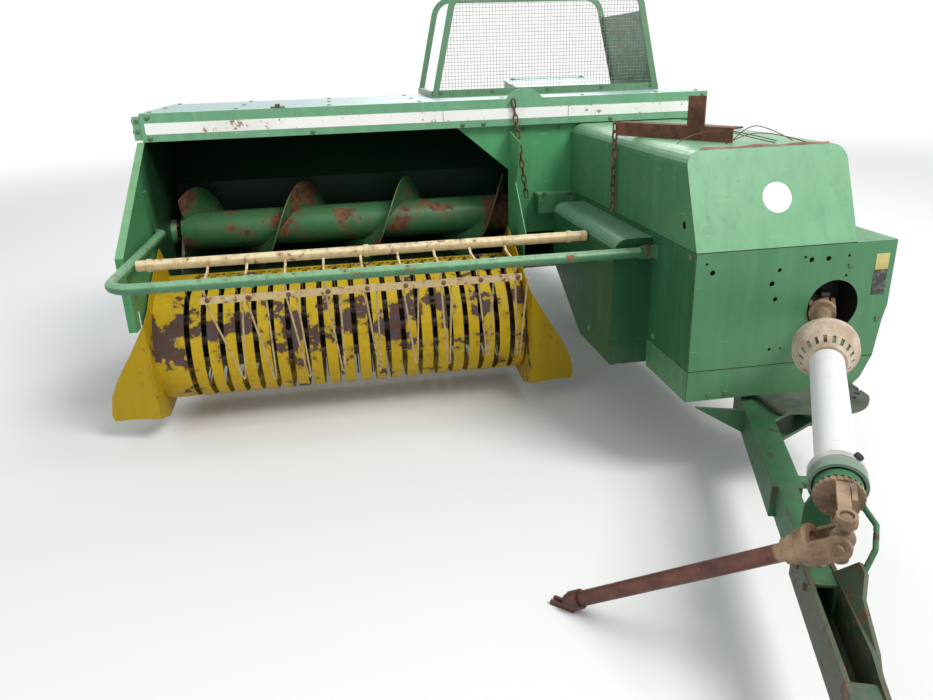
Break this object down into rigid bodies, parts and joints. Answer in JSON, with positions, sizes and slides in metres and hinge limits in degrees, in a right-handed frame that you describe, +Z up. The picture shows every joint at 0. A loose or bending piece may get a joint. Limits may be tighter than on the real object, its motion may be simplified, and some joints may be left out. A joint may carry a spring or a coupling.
{
  "type": "square baler",
  "caption": "Towed square baler with side pickup, feed auger, bale case, swinging tongue, shielded drive shaft, knotter guard and two wheels.",
  "frame": {"origin": "on the ground under the middle of the machine's bounding box", "axes": "+X to the machine's own left, away from the pickup; +Y to the rear, where the bales come out; +Z up"},
  "size_m": [2.953, 5.2744, 1.749],
  "materials": {
    "green_paint": "weathered, chipped to rust at the edges",
    "dark_green_paint": "weathered and rusty",
    "pale_worn_steel": "worn pale, dull",
    "yellow_paint": "worn through to dark bare patches",
    "cream_paint": "faded, with rust spots",
    "black_paint": "dull, with dirt and rust",
    "bare_steel": "dull",
    "rusty_steel": "rusted",
    "cast_joint": "dull rusty brown",
    "pale_plastic": "aged, dusty",
    "white_stripe": "faded, scuffed",
    "tyre_rubber": "worn, dusty"
  },
  "bodies": {
    "main": {"main_frame": "dark_green_paint", "swing_plate": "pale_worn_steel", "axle_beam": "dark_green_paint", "bale_case": "green_paint", "tension_rails": "green_paint", "tension_screws": "rusty_steel", "front_panel": "green_paint", "drive_collar": "black_paint", "side_panels": "green_paint", "lower_skirt": "green_paint", "upper_hood": "green_paint", "drive_cover": "green_paint", "gearbox": "bare_steel", "feeder_house": "green_paint", "deck": "green_paint", "front_beam": "green_paint", "beam_stripe": "white_stripe", "feeder_wall": "green_paint", "end_wall": "green_paint", "inner_side_sheet": "green_paint", "step_box": "green_paint", "left_shield": "green_paint", "guard_rail": "dark_green_paint", "knotter_frames": "bare_steel", "guard_hoops": "green_paint", "guard_mesh": "pale_worn_steel", "guard_sheet": "green_paint", "twine_box": "green_paint", "chains": "rusty_steel", "hood_bar": "rusty_steel"},
    "left_wheel": {"left_tyre": "tyre_rubber", "left_rim": "yellow_paint"},
    "right_wheel": {"right_tyre": "tyre_rubber", "right_rim": "yellow_paint"},
    "tongue": {"tongue_beam": "dark_green_paint", "hitch_channel": "dark_green_paint", "shaft_support": "dark_green_paint", "jack_sleeve": "dark_green_paint", "drive_yoke": "rusty_steel", "shield_cone": "pale_plastic", "shield_tube": "pale_plastic", "wide_joint": "cast_joint"},
    "jack": {"jack_leg": "pale_worn_steel"},
    "half_shaft": {"half_shaft": "rusty_steel"},
    "flywheel": {"flywheel": "rusty_steel"},
    "plunger": {"plunger": "bare_steel"},
    "auger": {"auger_tube": "dark_green_paint", "auger_flight": "dark_green_paint"},
    "pickup": {"pickup_bands": "yellow_paint", "pickup_back": "black_paint", "pickup_ends": "yellow_paint"},
    "reel": {"tine_reel": "bare_steel"},
    "windguard": {"windguard_pipe": "cream_paint", "windguard_rods": "cream_paint"},
    "needles": {"needle_yoke": "yellow_paint"},
    "knotter": {"knotter_shaft": "rusty_steel"},
    "twine_lid": {"twine_lid": "green_paint"},
    "metering_wheel": {"metering_wheel": "yellow_paint"}
  },
  "joints": [
    {"name": "left_wheel_spin", "type": "hinge", "parent": "main", "child": "left_wheel", "pos_m": [1.3445, 0.78721, 0.38], "axis": [1, 0, 0], "continuous": true},
    {"name": "right_wheel_spin", "type": "hinge", "parent": "main", "child": "right_wheel", "pos_m": [-1.3845, 0.78721, 0.335], "axis": [1, 0, 0], "continuous": true},
    {"name": "tongue_swing", "type": "hinge", "parent": "main", "child": "tongue", "pos_m": [1.0975, -1.12279, 0.3], "axis": [0, 0, 1], "range_deg": [0, 30]},
    {"name": "jack_slide", "type": "slide", "parent": "tongue", "child": "jack", "axis": [0, 0, 1], "range_m": [0, 0.1]},
    {"name": "half_shaft_lift", "type": "hinge", "parent": "tongue", "child": "half_shaft", "pos_m": [0.51202, -2.13488, 0.4525], "axis": [0.682, 0.7314, 0], "range_deg": [0, 50]},
    {"name": "flywheel_spin", "type": "hinge", "parent": "main", "child": "flywheel", "pos_m": [1.0975, -0.97279, 0.62], "axis": [0, 1, 0], "continuous": true},
    {"name": "plunger_stroke", "type": "slide", "parent": "main", "child": "plunger", "axis": [0, 1, 0], "range_m": [0, 0.7]},
    {"name": "auger_spin", "type": "hinge", "parent": "main", "child": "auger", "pos_m": [-0.3875, 0.43721, 0.7], "axis": [1, 0, 0], "continuous": true},
    {"name": "pickup_lift", "type": "hinge", "parent": "main", "child": "pickup", "pos_m": [-0.4875, 0.13721, 0.47], "axis": [-1, 0, 0], "range_deg": [0, 6]},
    {"name": "reel_spin", "type": "hinge", "parent": "pickup", "child": "reel", "pos_m": [-0.4875, -0.11279, 0.33], "axis": [1, 0, 0], "continuous": true},
    {"name": "windguard_lift", "type": "hinge", "parent": "main", "child": "windguard", "pos_m": [-0.3875, -0.51279, 0.768], "axis": [-1, 0, 0], "range_deg": [0, 60]},
    {"name": "needle_swing", "type": "hinge", "parent": "main", "child": "needles", "pos_m": [0.8905, 1.31721, 0.62], "axis": [-1, 0, 0], "range_deg": [0, 60]},
    {"name": "knotter_spin", "type": "hinge", "parent": "main", "child": "knotter", "pos_m": [0.8905, 1.03721, 1.08], "axis": [1, 0, 0], "continuous": true},
    {"name": "twine_lid_open", "type": "hinge", "parent": "main", "child": "twine_lid", "pos_m": [0.91, 1.71321, 1.29862], "axis": [-1, 0, 0], "range_deg": [0, 100]},
    {"name": "metering_spin", "type": "hinge", "parent": "main", "child": "metering_wheel", "pos_m": [0.8905, 1.98721, 0.97], "axis": [1, 0, 0], "continuous": true}
  ]
}
